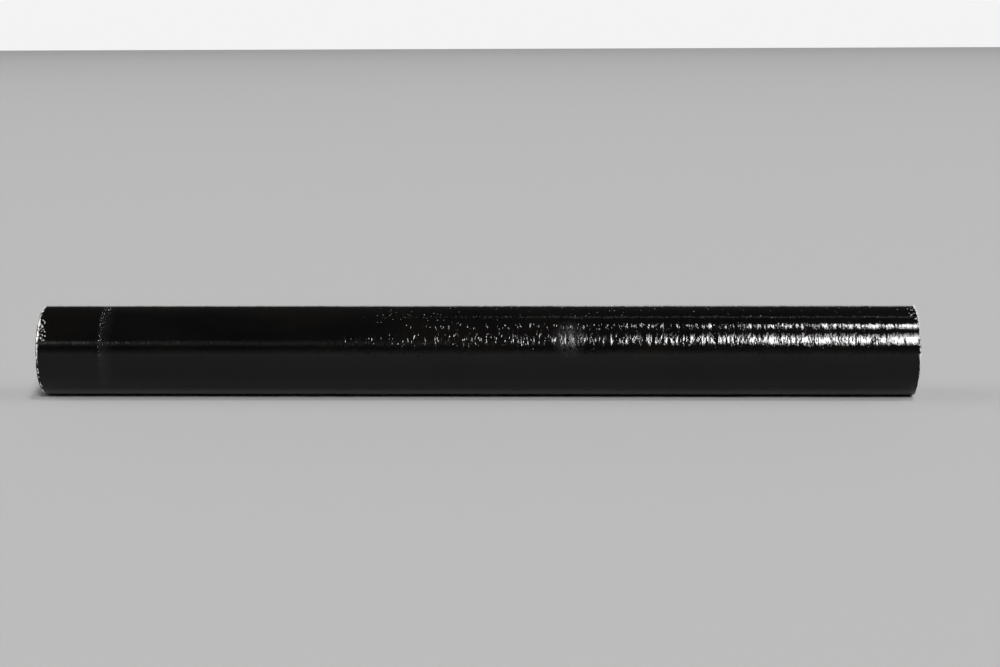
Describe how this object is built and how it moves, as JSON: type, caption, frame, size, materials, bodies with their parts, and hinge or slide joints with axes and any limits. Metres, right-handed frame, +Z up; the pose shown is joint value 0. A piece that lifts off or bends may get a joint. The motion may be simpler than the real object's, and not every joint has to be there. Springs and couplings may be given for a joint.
{
  "type": "roofing felt roll",
  "caption": "Part-used roll of slate-granule bitumen roofing felt, wound without a core, lying on its side, with an open bore from end to end.",
  "frame": {"origin": "on the floor under the middle of the roll as it lies, at the centre of its bounding box's bottom", "axes": "+X along the roll, from the selvedge end to the other trimmed end; +Y to the roll's back, under which its cut tail is tucked; +Z up"},
  "size_m": [1, 0.1057, 0.1036],
  "materials": {
    "bitumen_felt": "black bitumen under a glossy torch-on film",
    "slate_granules": "matt crushed slate, light and dark chips mixed"
  },
  "bodies": {
    "root": {"felt_roll": "bitumen_felt"}
  },
  "joints": []
}
